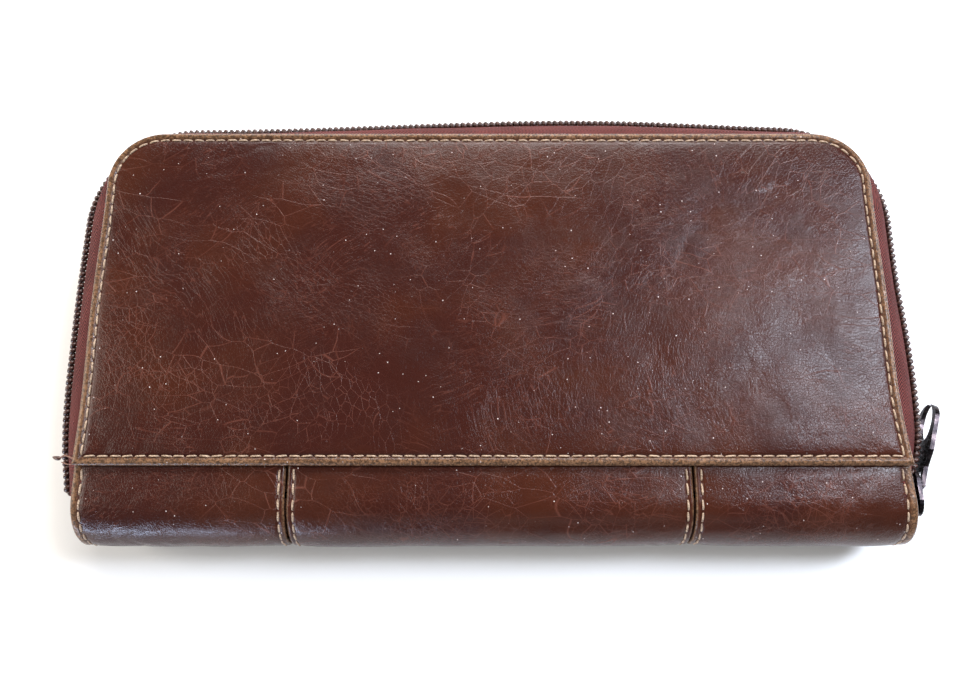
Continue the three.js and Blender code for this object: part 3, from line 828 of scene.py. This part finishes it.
step = np.gradient(CHAIN_LINE, axis=0)
step /= np.linalg.norm(step, axis=1)[:, None]
CHAIN_LINE = CHAIN_LINE + np.stack([step[:, 1], -step[:, 0]], 1) * bulge()[:, None]
step = np.gradient(CHAIN_LINE, axis=0)
step /= np.linalg.norm(step, axis=1)[:, None]
CHAIN_OUT = np.stack([step[:, 1], -step[:, 0]], 1)
CHAIN_S = np.concatenate([[0], np.cumsum(np.linalg.norm(np.diff(CHAIN_LINE, axis=0), axis=1))])


def build_tape(name, node, body, upper):
    face = COIL_W + 0.25 + 0.4
    centre, normal, vv = [], [], []
    for k in range(len(CHAIN_LINE)):
        edge, head = EDGE_LINE[k], CHAIN_LINE[k] - CHAIN_OUT[k] * face
        u = head - edge
        reach = np.linalg.norm(u)
        u /= reach
        line = [(-5, 2.3), (-2.6, 2.3)]
        for t in np.linspace(0, 1, 13):
            w0, w1, w2 = (1 - t) ** 2, 2 * t * (1 - t), t * t
            line.append((-0.5 * w0 + 0.62 * reach * w1 + reach * w2, 2.3 * w0 + 4.4 * w1 + 10.3 * w2))
        line += [(reach, 11.2), (reach, MID - 0.4)]
        line = np.array(line)
        slack = 0.16 * math.sin(CHAIN_S[k] * 0.09) + 0.12 * math.sin(CHAIN_S[k] * 0.23 + 1)
        line[3:-3, 0] += slack * np.sin(np.linspace(0, math.pi, len(line) - 6))
        along = np.gradient(line, axis=0)
        along /= np.linalg.norm(along, axis=1)[:, None]
        z = THICK - line[:, 1] if upper else line[:, 1]
        flip = -1 if upper else 1
        centre.append(np.stack([edge[0] + u[0] * line[:, 0], edge[1] + u[1] * line[:, 0], z], 1))
        normal.append(np.stack([u[0] * along[:, 1], u[1] * along[:, 1], -flip * along[:, 0]], 1))
        vv.append(np.concatenate([[0], np.cumsum(np.linalg.norm(np.diff(line, axis=0), axis=1))]))
    centre, normal, vv = np.array(centre), np.array(normal), np.array(vv)
    half = np.full(vv.shape, 0.4)
    verts, faces = shell(centre, normal, half, half)
    uu = np.broadcast_to(CHAIN_S[:, None], vv.shape)
    uv = np.tile(np.stack([uu.ravel(), vv.ravel()], 1), (2, 1))
    return make(name, verts, faces, TAPE, body, (node,), "zip_tape", uv=uv)


build_tape("zip_tape_base", "zip_tape_lower", "base", False)
build_tape("zip_tape_lid", "zip_tape_upper", "lid", True)


def build_coil(name, node, body, z, turn, phase):
    """A tightly wound coil of stiff monofilament on its cord, one turn each 1.62 mm."""
    pitch, per_turn, wire = 1.62, 14, 0.6
    total = CHAIN_S[-1] - 0.8
    count = int(total / pitch * per_turn)
    s = np.linspace(0.4, total, count)
    angle = turn * 2 * math.pi * s / pitch + phase
    px = np.interp(s, CHAIN_S, CHAIN_LINE[:, 0])
    py = np.interp(s, CHAIN_S, CHAIN_LINE[:, 1])
    ox = np.interp(s, CHAIN_S, CHAIN_OUT[:, 0])
    oy = np.interp(s, CHAIN_S, CHAIN_OUT[:, 1])
    a, b = COIL_W / 2 - wire, COIL_H / 2 - wire + 0.12
    out = -COIL_W / 2 + a * np.cos(angle)
    coil = tube(np.stack([px + ox * out, py + oy * out, z + b * np.sin(angle)], 1), wire, 6)
    core = np.stack([px + ox * -COIL_W / 2, py + oy * -COIL_W / 2, np.full_like(s, z)], 1)[::7]
    cord = tube(core, 0.42, 6)
    return make(name, *joined([coil, cord]), COIL, body, (node,), "zip_coil", sharp=80, weld=False)


build_coil("zip_coil_base", "zip_coil_lower", "base", MID - 0.35 - COIL_H / 2, 1, 0)
build_coil("zip_coil_lid", "zip_coil_upper", "lid", MID + 0.35 + COIL_H / 2, -1, 0.5)


# ---------------------------------------------------------------- slider and pull: the CAD shapes, with softened edges
for node, width in (("slider_body", 0.28), ("slider_bridge", 0.24), ("pull_tab", 0.26)):
    metal = nodes[node]
    metal.data.materials.clear()
    metal.data.materials.append(METAL)
    for polygon in metal.data.polygons:
        polygon.use_smooth = True
    bevel = metal.modifiers.new("soft_edges", "BEVEL")
    bevel.width = width * MM
    bevel.segments = 3
    bevel.limit_method = "ANGLE"
    bevel.angle_limit = math.radians(35)
    bevel.harden_normals = True


# ---------------------------------------------------------------- loose thread end at the left of the seam
def spline(points, count):
    points = np.asarray(points, float)
    t = np.linspace(0, len(points) - 1, count)
    padded = np.vstack([2 * points[0] - points[1], points, 2 * points[-1] - points[-2]])
    out = []
    for value in t:
        k = min(int(value), len(points) - 2)
        f = value - k
        p0, p1, p2, p3 = padded[k : k + 4]
        out.append(0.5 * (2 * p1 + (p2 - p0) * f + (2 * p0 - 5 * p1 + 4 * p2 - p3) * f**2 + (3 * p1 - p0 - 3 * p2 + p3) * f**3))
    return np.array(out)


tail = spline([(-98.6, -33.5, 25.3), (-100.6, -32.6, 25.0), (-102.6, -32.0, 24.0), (-104.4, -32.5, 23.0), (-106.2, -32.2, 22.4)], 24)
fray = spline([(-98.8, -33.9, 25.2), (-101.0, -34.2, 24.6), (-103.2, -33.6, 23.9)], 14)
knot_line = spline([(-103.9, -32.6, 23.1), (-105.0, -32.5, 22.8), (-106.3, -32.2, 22.5)], 9)
blob = tube(knot_line, [0.1, 0.35, 0.52, 0.58, 0.56, 0.5, 0.42, 0.3, 0.1], 8)
make("thread_end", *joined([tube(tail, 0.22, 6), tube(fray, 0.14, 6)]), THREAD_DARK, "lid", sharp=70, weld=False)
make("thread_end_knot", *blob, COIL, "lid", sharp=70, weld=False)


# ---------------------------------------------------------------- floor
floor = make("floor", [(-4000, -4000, 0), (4000, -4000, 0), (4000, 4000, 0), (-4000, 4000, 0)], [(0, 1, 2, 3)], floor_material())
floor.location.z = -0.0002
